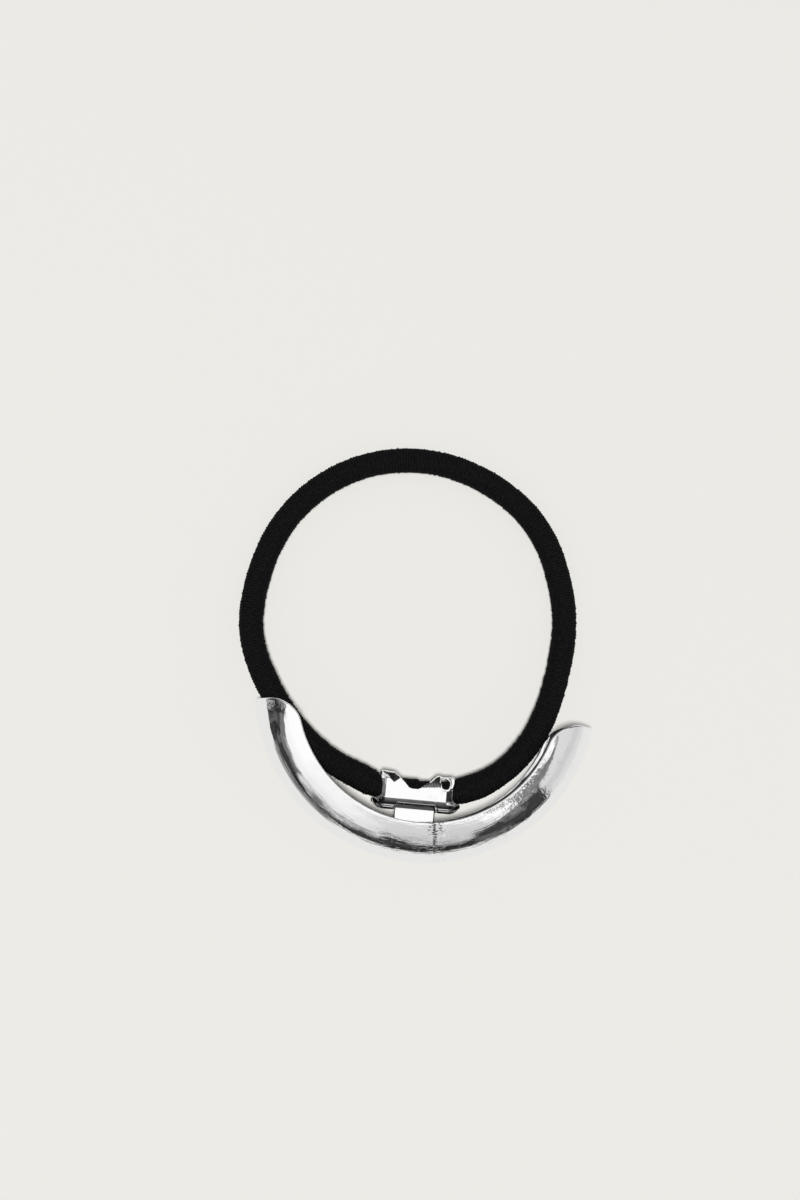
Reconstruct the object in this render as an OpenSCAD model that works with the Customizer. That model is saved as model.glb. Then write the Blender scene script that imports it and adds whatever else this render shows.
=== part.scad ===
// Ponytail cuff: a polished C-shaped metal band of half-round section, worn over
// the base of a ponytail, and the elastic loop that a crimped clamp holds behind it.
// The cuff lies on its side: its arc's axis is vertical and its lower lip is at z = 0.
// The origin is the centre of the arc, and +Y runs towards the far side of the loop.

/* [Cuff] */
// Radius of the arc out to the crest of the band
crest_r = 27.3; // [26.8:0.1:29]
// Outer radius of the band's half-round section
section_r = 6.5; // [6.2:0.1:7]
// Thickness of the band's sheet
wall = 0.8; // [0.6:0.1:1]
// Degrees that each lip stops short of the full half round
lip_trim = 5; // [2:1:9]
// How far the round bead along each lip stands out from the sheet
lip_bead = 0.05; // [0.03:0.01:0.1]
// Degrees of arc from end to end
cuff_angle = 165; // [150:1:168]
// Radius of the four corners, measured along the sheet
corner_r = 4.8; // [3.5:0.1:5]

/* [Tab] */
// Sideways place of the tab and the clamp
tab_x = -0.3; // [-1:0.1:0.5]
// Width of the tab soldered inside the band
tab_w = 6.2; // [5:0.1:7]
// Thickness of the tab
tab_t = 1.2; // [0.8:0.1:1.4]
// Gap from the lips' inner circle to the back of the clamp
tab_gap = 1.6; // [1.4:0.1:2]
// Width of the cross bar that ends the tab inside the clamp
bar_w = 8.4; // [7.5:0.1:9]
// Thickness of that cross bar
bar_t = 0.5; // [0.3:0.05:0.6]

/* [Clamp] */
// Width of the clamp's jaws along the elastic
jaw_w = 11.7; // [11:0.1:13]
// Thickness of the clamp's sheet
jaw_t = 0.75; // [0.6:0.05:0.9]
// Width of the clamp's back plate
plate_w = 13.7; // [13.1:0.1:15]
// Height of the clamp's back plate
plate_h = 7.4; // [7:0.1:8.5]
// Radius of the back plate's corners
plate_corner = 1.8; // [1:0.1:2.5]
// How far the slot round the tab runs from the back plate into the jaws
slot_run = 1.2; // [0.8:0.1:1.4]
// Width of the notch between the prongs, at its floor
notch_floor_w = 2.1; // [1.5:0.1:2.8]
// Width of the notch between the prongs, at their tips
notch_mouth_w = 7.2; // [6:0.1:7.6]
// Distance from the elastic's middle to the notch's floor
notch_floor_y = 0.4; // [0.2:0.1:0.8]
// Half of the angle left open between upper and lower prongs
prong_open = 20; // [15:1:30]
// Diameter of the hole punched in the right prongs
punch_d = 1.5; // [1:0.1:1.6]
// Distance of that hole from the clamp's middle
punch_x = 4.5; // [4.4:0.1:4.6]

/* [Elastic] */
// Diameter of the elastic
cord_d = 4; // [3.6:0.1:4]

/* [Hidden] */

$fn = 96;

// Clearance between the tab and its slot, and between the bar and the back plate
fit = 0.1;
// Clearance between the elastic and the bar
bar_clear = 0.15;
// Clearance between the elastic and the jaws round it
jaw_clear = 0.35;
// Share of the elastic's diameter left where the clamp squeezes it
squeeze = 0.93;
// How far the tab's root runs into the band's sheet
solder = wall / 2;
// How far cutting shapes run past what they cut
past = 1;

rim_r = crest_r - section_r;
lip_angle = 90 - lip_trim;
sheet_r = section_r - wall / 2;
lip_r = wall / 2 + lip_bead;
mid_z = sheet_r * sin(lip_angle) + lip_r;
end_angle = (180 - cuff_angle) / 2;

// Corner rounding: a cylinder square to the sheet, tangent to the lip and to the end
corner_tilt = lip_trim + asin((corner_r - wall) / 2 / sheet_r);
corner_rho = rim_r + section_r * sin(corner_tilt + asin(corner_r / 2 / section_r));
corner_turn = asin(corner_r / corner_rho);

// Places along Y, from the band inwards
plate_back_y = -(rim_r - tab_gap);
plate_front_y = plate_back_y + jaw_t;
bar_back_y = plate_front_y + fit;
bar_front_y = bar_back_y + bar_t;
squeezed_r = squeeze * cord_d / 2;
grip_y = bar_front_y + bar_clear + squeezed_r;
jaw_in = squeezed_r + jaw_clear;
jaw_out = jaw_in + jaw_t;
tab_root_y = -(crest_r - wall) - solder;

// The viewing point of the picture that the route was measured in: its distance from the
// aimed point, and how far the line of sight leans from the vertical for each mm of height
view_distance = 533;
view_aim = [-5.6, 14.3];
view_lean = [0.048, 0.066];

// The elastic's route round the loop, from one butted end in the clamp to the other.
// Columns: x and y of its middle as seen on the level of the cuff's middle, its true z,
// and its girth as a share of cord_d.
ROUTE_X = 0;
ROUTE_Y = 1;
ROUTE_Z = 2;
ROUTE_GIRTH = 3;
route = [
    [0.1, -15.8, 6.5, 0.93],
    [3, -15.8, 6.5, 0.93],
    [5.8, -15.6, 6.5, 0.93],
    [7.2, -15.1, 6.5, 1.1],
    [9.8, -14, 6.5, 1.08],
    [12.2, -12.4, 6.4, 1],
    [14.4, -10.4, 6.2, 1],
    [16.2, -8.1, 6, 1],
    [17.7, -5.6, 5.6, 1],
    [18.8, -3, 5.2, 1],
    [19.6, -0.4, 4.7, 1],
    [20.2, 2.3, 4.1, 1],
    [20.8, 6.2, 3.3, 1],
    [21.1, 11, 2.4, 1],
    [20.7, 15.4, 2, 1],
    [19.4, 20.2, 2, 1],
    [17.2, 25.2, 2, 1],
    [13.7, 29.7, 2, 1],
    [9.3, 33, 2, 1],
    [4.4, 35.3, 2, 1],
    [-0.9, 36.6, 2, 1],
    [-6.4, 36.7, 2, 1],
    [-11.8, 35.6, 2, 1],
    [-16.8, 33.3, 2, 1],
    [-21.1, 30, 2, 1],
    [-24.6, 25.8, 2, 1],
    [-27, 21, 2, 1],
    [-28.4, 15.9, 2.3, 1],
    [-29, 10.8, 3.1, 1],
    [-28.7, 6.8, 4.1, 1],
    [-27.5, 3, 5.2, 1],
    [-25.7, -0.5, 6, 1],
    [-23.6, -3.7, 6.4, 1],
    [-20.9, -7, 6.5, 1],
    [-17.6, -10, 6.5, 1],
    [-14.5, -12.1, 6.5, 1],
    [-11.9, -13.4, 6.5, 1.04],
    [-9.4, -14.4, 6.5, 1.1],
    [-7.8, -15.1, 6.5, 1.08],
    [-6.4, -15.6, 6.5, 0.93],
    [-3.4, -15.8, 6.5, 0.93],
    [-0.1, -15.8, 6.5, 0.93],
];
route_end = len(route) - 1;
cord_sides = 10;

function unit(v) = v / norm(v);
// The true place of a route point, seen from the viewing point at its place in the table
function at(i) =
    let (
        seen = [route[i][ROUTE_X], route[i][ROUTE_Y]],
        rise = route[i][ROUTE_Z] - mid_z,
        flat = view_aim + (seen - view_aim) * (1 - rise / view_distance)
            - view_lean * rise
    )
    [flat[0], flat[1], route[i][ROUTE_Z]];
function along(i) = unit(at(min(i + 1, route_end)) - at(max(i - 1, 0)));
function ring(i) =
    let (
        forward = along(i),
        side = unit(cross(forward, [0, 0, 1])),
        up = cross(side, forward),
        r = route[i][ROUTE_GIRTH] * cord_d / 2
    )
    [for (s = [0 : cord_sides - 1])
        at(i) + r * (cos(360 * s / cord_sides) * side + sin(360 * s / cord_sides) * up)];

// Half-round section of the band, with its two round lips, in the plane of radius and height
module band_section() {
    reach = 2 * section_r;
    translate([rim_r, mid_z]) {
        difference() {
            circle(r = section_r);
            circle(r = section_r - wall);
            polygon([
                [0, 0],
                [reach * cos(lip_angle), reach * sin(lip_angle)],
                [-reach, reach],
                [-reach, -reach],
                [reach * cos(lip_angle), -reach * sin(lip_angle)],
            ]);
        }
        for (side = [-1, 1])
            rotate(side * lip_angle)
                translate([sheet_r, 0])
                    circle(r = lip_r);
    }
}

// What rounds one upper corner away, with the section's middle at z = 0
module corner_cut() {
    reach = 2 * corner_r;
    rotate([0, 0, -end_angle - corner_turn])
        translate([rim_r, 0, 0])
            rotate([0, corner_tilt, 0])
                translate([corner_r / 2, 0, section_r / 2])
                    linear_extrude(section_r)
                        difference() {
                            polygon([
                                [0, 0],
                                [-reach, 0],
                                [-reach, reach],
                                [-reach * sin(corner_turn), reach],
                            ]);
                            circle(r = corner_r);
                        }
}

// The C-shaped band, with its tab and the tab's cross bar, soldered into one
module cuff() {
    color("silver")
        union() {
            difference() {
                rotate([0, 0, -180 + end_angle])
                    rotate_extrude(angle = cuff_angle)
                        band_section();
                translate([0, 0, mid_z])
                    for (turn = [0, 1], flip = [0, 1])
                        mirror([turn, 0, 0])
                            mirror([0, 0, flip])
                                corner_cut();
            }
            translate([tab_x - tab_w / 2, tab_root_y, mid_z - tab_t / 2])
                cube([tab_w, bar_front_y - tab_root_y, tab_t]);
            translate([tab_x - bar_w / 2, bar_back_y, mid_z - tab_t / 2])
                cube([bar_w, bar_t, tab_t]);
        }
}

// Section of the jaws: two flat cheeks that curl round the elastic into prongs
module jaw_section() {
    difference() {
        union() {
            circle(r = jaw_out);
            translate([plate_front_y - grip_y, -jaw_out])
                square([grip_y - plate_front_y, 2 * jaw_out]);
        }
        circle(r = jaw_in);
        translate([plate_front_y - grip_y - past, -jaw_in])
            square([grip_y - plate_front_y + past, 2 * jaw_in]);
        polygon([
            [0, 0],
            [2 * jaw_out, 2 * jaw_out * tan(prong_open)],
            [2 * jaw_out, -2 * jaw_out * tan(prong_open)],
        ]);
    }
}

// Back plate, a rectangle with round corners, standing along X
module back_plate() {
    translate([0, plate_front_y, 0])
        rotate([90, 0, 0])
            linear_extrude(jaw_t)
                union() {
                    square([plate_w, plate_h - 2 * plate_corner], center = true);
                    square([plate_w - 2 * plate_corner, plate_h], center = true);
                    for (x = [-1, 1], z = [-1, 1])
                        translate([x * (plate_w / 2 - plate_corner), z * (plate_h / 2 - plate_corner)])
                            circle(r = plate_corner);
                }
}

// Where one cheek of the jaws widens into the back plate, with a hollow curve
module jaw_flare() {
    flare = (plate_w - jaw_w) / 2;
    translate([jaw_w / 2, plate_front_y, jaw_in])
        linear_extrude(jaw_t)
            difference() {
                square(flare);
                translate([flare, flare])
                    circle(r = flare);
            }
}

// The crimped clamp: two jaws round the elastic, with a back plate at each side of the tab
module clamp() {
    color("silver")
        translate([tab_x, 0, mid_z])
            difference() {
                union() {
                    back_plate();
                    translate([-jaw_w / 2, grip_y, 0])
                        rotate([90, 0, 90])
                            linear_extrude(jaw_w)
                                jaw_section();
                    for (x = [0, 1], z = [0, 1])
                        mirror([x, 0, 0])
                            mirror([0, 0, z])
                                jaw_flare();
                }
                linear_extrude(4 * jaw_out, center = true)
                    polygon([
                        [-notch_floor_w / 2, grip_y + notch_floor_y],
                        [notch_floor_w / 2, grip_y + notch_floor_y],
                        [notch_mouth_w / 2, grip_y + jaw_out + past / 2],
                        [-notch_mouth_w / 2, grip_y + jaw_out + past / 2],
                    ]);
                translate([-tab_w / 2 - fit, plate_back_y - past, -plate_h / 2 - past])
                    cube([tab_w + 2 * fit, slot_run + past, plate_h + 2 * past]);
                translate([punch_x, grip_y + jaw_in - punch_d / 2, 0])
                    cylinder(d = punch_d, h = 4 * jaw_out, center = true);
            }
}

// The round elastic, one closed tube
module elastic() {
    color([0.06, 0.06, 0.06])
        polyhedron(
            points = [for (i = [0 : route_end]) each ring(i)],
            faces = concat(
                [[for (s = [0 : cord_sides - 1]) cord_sides - 1 - s]],
                [[for (s = [0 : cord_sides - 1]) route_end * cord_sides + s]],
                [for (i = [0 : route_end - 1], s = [0 : cord_sides - 1])
                    [
                        i * cord_sides + s,
                        i * cord_sides + (s + 1) % cord_sides,
                        (i + 1) * cord_sides + (s + 1) % cord_sides,
                        (i + 1) * cord_sides + s,
                    ]]
            )
        );
}

cuff();
clamp();
elastic();
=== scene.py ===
"""Ponytail cuff: the finished look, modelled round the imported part.

A polished C-shaped band of half-round section lies on its side, with a black knitted
elastic loop that a crimped clamp holds behind it. Run as a script, it builds the pieces,
their finishes and the studio. All lengths are in metres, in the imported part's own frame.
"""

import math
import random
from contextlib import contextmanager

import bmesh
import bpy
from mathutils import Matrix, Vector


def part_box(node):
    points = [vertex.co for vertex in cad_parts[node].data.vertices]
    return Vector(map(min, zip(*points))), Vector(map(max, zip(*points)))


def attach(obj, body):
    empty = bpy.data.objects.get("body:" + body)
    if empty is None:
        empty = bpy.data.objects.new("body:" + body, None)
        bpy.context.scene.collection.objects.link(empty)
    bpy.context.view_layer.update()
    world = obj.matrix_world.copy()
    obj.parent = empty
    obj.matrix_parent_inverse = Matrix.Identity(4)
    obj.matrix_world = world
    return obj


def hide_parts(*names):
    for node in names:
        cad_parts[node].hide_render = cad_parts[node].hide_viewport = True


bl_info = {
    "name": "Ponytail Cuff",
    "version": (1, 0, 0),
    "blender": (4, 5, 0),
    "location": "View3D > Sidebar > Ponytail Cuff",
    "description": "Models a polished ponytail cuff with its crimped clamp and knitted elastic",
    "category": "Object",
}

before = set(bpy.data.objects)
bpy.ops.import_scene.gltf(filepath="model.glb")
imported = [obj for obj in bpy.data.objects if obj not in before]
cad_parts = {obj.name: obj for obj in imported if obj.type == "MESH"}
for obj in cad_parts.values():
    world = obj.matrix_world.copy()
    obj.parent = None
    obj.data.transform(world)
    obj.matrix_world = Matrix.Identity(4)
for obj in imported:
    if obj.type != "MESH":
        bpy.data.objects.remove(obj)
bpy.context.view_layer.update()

MM = 0.001
ROOT = "root"

CUFF_LOW, CUFF_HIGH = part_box("cuff")
CLAMP_LOW, CLAMP_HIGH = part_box("clamp")
# The level of the band's middle, and the middle of the clamp
MIDDLE_Z = CUFF_HIGH.z / 2
CLAMP_X = (CLAMP_LOW.x + CLAMP_HIGH.x) / 2

# The viewing point that the route was measured from: its distance from the aimed point, and
# how far the line of sight leans from the vertical for each unit of height
VIEW_DISTANCE = 533 * MM
VIEW_AIM = Vector((-5.6, 14.3)) * MM
VIEW_LEAN = Vector((0.048, 0.066))

# The elastic's resting route, from one butted end inside the clamp round to the other.
# Columns, in mm: x and y of its middle as seen on the level of the cuff's middle, its true
# z, then its girth as a share of the elastic's diameter.
ROUTE = [
    (0.02, -15.95, 6.5, 0.86),
    (3, -15.8, 6.5, 0.93),
    (5.8, -15.6, 6.5, 0.93),
    (7.2, -15.1, 6.5, 1.1),
    (9.8, -14, 6.5, 1.08),
    (12.2, -12.4, 6.4, 1),
    (14.4, -10.4, 6.2, 1),
    (16.2, -8.1, 6, 1),
    (17.7, -5.6, 5.6, 1),
    (18.8, -3, 5.2, 1),
    (19.6, -0.4, 4.7, 1),
    (20.2, 2.3, 4.1, 1),
    (20.8, 6.2, 3.3, 1),
    (21.1, 11, 2.4, 1),
    (20.7, 15.4, 2, 1),
    (19.4, 20.2, 2, 1),
    (17.2, 25.2, 2, 1),
    (13.7, 29.7, 2, 1),
    (9.3, 33, 2, 1),
    (4.4, 35.3, 2, 1),
    (-0.9, 36.6, 2, 1),
    (-6.4, 36.7, 2, 1),
    (-11.8, 35.6, 2, 1),
    (-16.8, 33.3, 2, 1),
    (-21.1, 30, 2, 1),
    (-24.6, 25.8, 2, 1),
    (-27, 21, 2, 1),
    (-28.4, 15.9, 2.3, 1),
    (-29, 10.8, 3.1, 1),
    (-28.7, 6.8, 4.1, 1),
    (-27.5, 3, 5.2, 1),
    (-25.7, -0.5, 6, 1),
    (-23.6, -3.7, 6.4, 1),
    (-20.9, -7, 6.5, 1),
    (-17.6, -10, 6.5, 1),
    (-14.5, -12.1, 6.5, 1),
    (-11.9, -13.4, 6.5, 1.04),
    (-9.4, -14.4, 6.5, 1.1),
    (-7.8, -15.1, 6.5, 1.08),
    (-6.4, -15.6, 6.5, 0.93),
    (-3.4, -15.8, 6.5, 0.93),
    (-0.02, -15.8, 6.5, 0.93),
]

# The clamp's shape, in mm from its middle and from the gripped elastic's middle.
# The cheek's sheet is flat up to WALL_END. From there it rises to the back plate, as steep
# in degrees as REAR_TILT says at each length walked, and stops sooner at the tab's slot.
WALL_END = -1.36
REAR_TILT = [(0, 0), (0.3, 28), (1.7, 38)]
REAR_LENGTH = 1.72
SLOT_LENGTH = 1.05
SLOT_END = 3.3
# Where the back plate's ends begin to bend forward, and how strongly
BEND_START = 5.3
BEND = 0.4
# How far the cheeks' rear corners spread, and how much narrower the wall is on each side
SPREAD = 1.0
WAIST = 0.22
# The prongs' edge as seen from above: places across the clamp, and how far out they reach
PRONG_EDGE = [
    (-5.85, 2.9),
    (-5.2, 2.9),
    (-3.7, 2.79),
    (-2.9, 2.15),
    (-1.35, 0.43),
    (-0.8, 0.3),
    (0.1, 0.3),
    (0.55, 0.5),
    (2.15, 1.76),
    (3.05, 2.66),
    (3.45, 2.82),
    (4.0, 2.57),
    (5.6, 2.66),
    (5.85, 2.6),
]
# The radius of the prongs' gentle curl, and how far their ends turn down round the elastic
PRONG_R = 7.5
PRONG_DROP = 1.1
# Each side's flare: where it starts, how steeply it turns away and how far out it reaches
LEFT_FLARE = (4.85, -0.42, 1.4)
RIGHT_FLARE = (4.6, 0.65, 0.1)
# The left prong's fold, a V: its point, the slopes of its sides, where it ends, its drop
FOLD_PLACE = (-3.75, 1.0)
FOLD_SLOPES = (-0.975, 0.86)
FOLD_END = -2.2
FOLD_DROP = 0.46
# The right prong's fold: its line as a height and a slope, its drop, its grooves
LINE_START, LINE_SLOPE = 0.4, 0.1
LINE_DROP = 0.42
GROOVE_PITCH = 0.42
GROOVE_DEPTH = 0.02
# The punched hole: its middle, and how the punch drew its width, length and depth
PUNCH_PLACE = (4.45, 1.4)
PUNCH_DRAWN = (0.92, 1.1, 1.0)
# The raised ring round it: its radius, half width and height
RING_R = 0.83
RING_WIDTH = 0.13
RING_HEIGHT = 0.08
# Creases at the left prong's corner: both ends, and the depth; then their half width
CREASES = [(-5.94, 2.34, -4.98, 1.72, 0.12), (-5.5, 2.7, -4.6, 1.75, 0.05)]
CREASE_WIDTH = 0.11
# How far the finished back plate stands forward of the plain one, and above and below it
PLATE_FORWARD = 0.08
PLATE_TALLER = 0.24
# The rounding of the back plate's rim, and how much it is drawn out to a narrow crown
RIM = 0.37
CROWN = 2.2

# How much wider than the plain tab the finished one looks, on each side, in mm
TAB_EXTRA = 0.12
# The cross bar's clearance from the clamp, and the rounding of the tab's edges, in mm
BAR_FIT = 0.1
TAB_ROUND = 0.16
# How strongly the band's rows are crowded towards its rims
CROWDING = 0.6
# How unevenly the elastic's knitted rings stand out, as a share of their depth
UNEVEN_KNIT = 0.6
# How much lighter than the yarn's colour its raised and rubbed fibres are, and its top where
# light is painted on
YARN_WEAR_AND_LIGHT = 14.0


def length_value(name, description, default):
    return bpy.props.FloatProperty(
        name=name, description=description, default=default, unit="LENGTH"
    )


def angle_value(name, description, degrees):
    return bpy.props.FloatProperty(
        name=name, description=description, default=math.radians(degrees), subtype="ANGLE"
    )


def colour_value(name, description, default):
    return bpy.props.FloatVectorProperty(
        name=name, description=description, default=default, subtype="COLOR"
    )


class CuffSizes(bpy.types.PropertyGroup):
    """Sizes of the band and its tab"""

    crest_r: length_value(
        "Crest radius", "Radius of the arc out to the crest of the band", -CUFF_LOW.y
    )
    section_r: length_value("Section radius", "Outer radius of the half-round section", 6.5 * MM)
    wall: length_value("Wall", "Thickness of the band's sheet at its visible lips", 0.72 * MM)
    lip_trim: angle_value("Lip trim", "How far each lip stops short of the full half round", 5)
    corner_r: length_value(
        "Corner radius", "Radius of the band's four corners, along the sheet", 4.8 * MM
    )
    corner_turn: angle_value(
        "Corner turn", "Part of the arc that each corner's rounding takes", 10.9
    )
    tab_w: length_value("Tab width", "Width of the tab soldered inside the band", 6.2 * MM)
    tab_t: length_value("Tab thickness", "Thickness of the tab", 1.2 * MM)
    bar_w: length_value(
        "Cross bar width", "Width of the cross bar that ends the tab in the clamp", 8.4 * MM
    )
    bar_t: length_value("Cross bar thickness", "Thickness of the cross bar", 0.5 * MM)


class ClampSizes(bpy.types.PropertyGroup):
    """Sizes of the crimped clamp"""

    jaw_w: length_value("Jaw width", "Width of the jaws along the elastic", 11.7 * MM)
    jaw_t: length_value("Sheet thickness", "Thickness of the clamp's sheet", 0.75 * MM)
    jaw_r: length_value(
        "Jaw radius", "Radius of the jaws round the elastic, to mid sheet", 2.585 * MM
    )
    grip_y: length_value("Grip", "Place of the gripped elastic's middle along Y", -15.84 * MM)
    plate_corner: length_value(
        "Plate corner radius", "Radius of the back plate's corners", 1.8 * MM
    )
    punch_d: length_value("Punched hole", "Diameter of the hole in the right prongs", 1.5 * MM)


class ElasticSizes(bpy.types.PropertyGroup):
    """Sizes of the knitted elastic"""

    diameter: length_value("Diameter", "Diameter of the elastic over its knitted cover", 4 * MM)
    rib_pitch: length_value("Rib pitch", "Distance between the knitted cover's rings", 0.45 * MM)
    rib_depth: length_value("Rib depth", "Depth of the grooves between the rings", 0.08 * MM)


class FinishColours(bpy.types.PropertyGroup):
    """Colours of the finishes"""

    metal: colour_value("Plating", "Colour of the polished plating", (0.945, 0.955, 0.99))
    tarnish: colour_value(
        "Tarnish", "Colour of the plating where it has dulled", (0.62, 0.61, 0.6)
    )
    # Painted shade deep inside the band's hollow, lighter than just inside the lips
    inside_shade: colour_value(
        "Lining", "Colour of the dull metal deep inside the band", (0.22, 0.22, 0.225)
    )
    # Dark colour of the band's weld marks and darker strip, and of painted shade inside the
    # band's lips, round the tab and on the clamp's rim and corners
    dark_marks_and_shade: colour_value(
        "Dark metal",
        "Colour of the metal just inside the band's lips and beside the solder",
        (0.07, 0.07, 0.072),
    )
    yarn: colour_value("Yarn", "Colour of the elastic's cover", (0.001, 0.001, 0.0011))
    floor: colour_value("Floor", "Colour of the pale floor", (0.86, 0.85, 0.82))


class Studio(bpy.types.PropertyGroup):
    """Camera and light"""

    aim: bpy.props.FloatVectorProperty(
        name="Aim",
        description="Point that the camera looks at",
        default=(-5.57 * MM, 14.27 * MM, 6.5 * MM),
        subtype="TRANSLATION",
    )
    distance: length_value("Distance", "Distance of the camera from its aim", 0.533)
    lens: bpy.props.FloatProperty(
        name="Lens",
        description="Focal length in mm, on a sensor 36 mm tall",
        default=100,
    )
    roll: angle_value("Roll", "Turn of the part in the picture, clockwise", 5.3)
    lean_left: angle_value(
        "Lean left", "How far the camera stands to the picture's left of straight above", 3.1
    )
    lean_down: angle_value(
        "Lean down", "How far the camera stands to the picture's foot of straight above", 3.5
    )
    key: bpy.props.FloatProperty(
        name="Key light",
        description="Power of the soft light behind the camera",
        default=78.5,
        unit="POWER",
    )
    key_distance: length_value("Key distance", "Distance of the key light from the aim", 3.0)
    key_size: length_value("Key size", "Diameter of the key light", 0.34)
    fill: colour_value(
        "Fill light", "Colour and strength of the light from all round", (0.1, 0.098, 0.09)
    )
    backdrop: colour_value(
        "Backdrop", "Colour that the camera sees beyond the floor", (0.83, 0.82, 0.79)
    )
    floor_r: length_value("Floor radius", "Radius of the pale floor", 160 * MM)


class Term:
    """A value or colour on its way through a node tree, so that sums on it read as sums."""

    def __init__(self, tree, socket):
        self.tree = tree
        self.socket = socket

    def __add__(self, other):
        return self.tree.sum("ADD", self, other)

    def __sub__(self, other):
        return self.tree.sum("SUBTRACT", self, other)

    def __mul__(self, other):
        return self.tree.sum("MULTIPLY", self, other)

    def __truediv__(self, other):
        return self.tree.sum("DIVIDE", self, other)

    def __pow__(self, other):
        return self.tree.sum("POWER", self, other)

    def __radd__(self, other):
        return self.tree.sum("ADD", other, self)

    def __rsub__(self, other):
        return self.tree.sum("SUBTRACT", other, self)

    def __rmul__(self, other):
        return self.tree.sum("MULTIPLY", other, self)

    def __neg__(self):
        return self.tree.sum("MULTIPLY", self, -1.0)

    def sine(self):
        return self.tree.sum("SINE", self)

    def size(self):
        return self.tree.sum("ABSOLUTE", self)

    def toward(self, other, share):
        """This value where share is 0, the other where it is 1."""
        return self + share * (other - self)

    def within(self, low, high):
        """0 up to low, 1 from high on, and a smooth step between them."""
        return self.tree.add(
            "ShaderNodeMapRange",
            {"interpolation_type": "SMOOTHSTEP"},
            {"Value": self, "From Min": low, "From Max": high},
        )

    def climb(self, low, high):
        """0 up to low, 1 from high on, and an even slope between them."""
        return self.tree.add(
            "ShaderNodeMapRange",
            {"interpolation_type": "LINEAR"},
            {"Value": self, "From Min": low, "From Max": high},
        )


class Tree:
    """A node tree, cleared, with one way to add a node to it."""

    def __init__(self, node_tree):
        self.nodes = node_tree.nodes
        self.links = node_tree.links
        self.nodes.clear()

    def add(self, kind, settings=None, inputs=None, out=0):
        node = self.nodes.new(kind)
        for name, value in (settings or {}).items():
            setattr(node, name, value)
        for name, value in (inputs or {}).items():
            if isinstance(value, Term):
                self.links.new(value.socket, node.inputs[name])
            else:
                node.inputs[name].default_value = value
        return Term(self, node.outputs[out]) if len(node.outputs) else node

    def sum(self, operation, *values):
        return self.add("ShaderNodeMath", {"operation": operation}, dict(enumerate(values)))

    def place(self):
        """The place on the piece in metres, or the direction in a world's tree."""
        return self.add("ShaderNodeTexCoord", out=3)

    def axes(self, place):
        return [self.add("ShaderNodeSeparateXYZ", None, {0: place}, axis) for axis in range(3)]

    def point(self, x, y, z=0.0):
        return self.add("ShaderNodeCombineXYZ", None, {"X": x, "Y": y, "Z": z})

    def blend(self, share, first, second):
        """The first colour where share is 0, the second where it is 1."""
        return self.add(
            "ShaderNodeMix", {"data_type": "RGBA"}, {0: share, 6: first, 7: second}, out=2
        )

    def noise(self, place, scale, detail=2.0, roughness=0.5, distortion=0.0):
        inputs = {
            "Vector": place,
            "Scale": scale,
            "Detail": detail,
            "Roughness": roughness,
            "Distortion": distortion,
        }
        return self.add("ShaderNodeTexNoise", None, inputs)

    def bump(self, height, strength, distance, normal=None):
        inputs = {"Height": height, "Strength": strength, "Distance": distance}
        if normal is not None:
            inputs["Normal"] = normal
        return self.add("ShaderNodeBump", None, inputs)

    def finish(self, inputs):
        """Ends the tree in a surface with these values or links."""
        surface = self.add("ShaderNodeBsdfPrincipled", None, inputs)
        self.add("ShaderNodeOutputMaterial", None, {"Surface": surface})


def new_finish(name):
    material = bpy.data.materials.new(name)
    material.use_nodes = True
    return material, Tree(material.node_tree)


def rgba(colour):
    return (*colour, 1.0)


def between(value, low, high, soft):
    """1 between low and high, 0 outside them, with soft steps."""
    return value.within(low - soft, low + soft) * (1.0 - value.within(high - soft, high + soft))


def band_place(tree, sizes):
    """Places on the band in mm: along its arc, across from its crest, in from its outer
    surface, and out from the circle that its lips lie on."""
    x, y, z = tree.axes(tree.place())
    radius = (x * x + y * y) ** 0.5
    along = tree.sum("ARCTAN2", x, -y) * (sizes.crest_r / MM)
    upright = z - MIDDLE_Z
    outward = radius - (sizes.crest_r - sizes.section_r)
    across = tree.sum("ARCTAN2", upright, outward)
    deep = sizes.section_r - (outward * outward + upright * upright) ** 0.5
    return along, across * (sizes.section_r / MM), deep / MM, outward / MM


def tab_masks(tree, sizes):
    """1 on the tab, and 1 where shade is painted on it: along its side faces and inside the
    clamp's slot.
    """
    x, y, z = tree.axes(tree.place())
    soft = 0.1 * MM
    beside = (x - CLAMP_X).size()
    edge = sizes.tab_w / 2 + TAB_EXTRA * MM
    root = -sizes.crest_r + 1.2 * MM
    half_t = sizes.tab_t / 2 + soft
    level = 1.0 - (z - MIDDLE_Z).size().within(half_t, half_t + soft)
    level = level * y.within(root, root + 2 * soft)
    # The cross bar counts as the tab
    bar_end = sizes.bar_w / 2 + 0.22 * MM
    tab = level * (1.0 - beside.within(bar_end, bar_end + soft))
    # Painted shade: on the tab inside the clamp's slot, and in strips along its sides
    slot = CLAMP_LOW.y + 0.35 * MM
    front = CLAMP_LOW.y + 1.2 * MM
    shaded = y.within(slot, slot + soft) * (1.0 - y.within(front, front + soft))
    side = beside.within(edge - 0.14 * MM, edge - 0.06 * MM) * (1.0 - y.within(front, front + MM))
    dark = shaded + side
    return tab, tab * tree.sum("MINIMUM", dark, 1.0)


# Where the band's marks lie, in mm along it from its middle: their left and right sides
DENTED = (16.0, 31.0)
FOOT = (-20.0, 18.0)
DARKER_STRIP = (-31.0, -15.0)
WELD_LINE = (3.2, 3.8)
WELD_AREA = (2.2, 5.5)
# Where the rumpled plating at the left end fades out
RUMPLED = (-38.0, -36.5)


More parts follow.
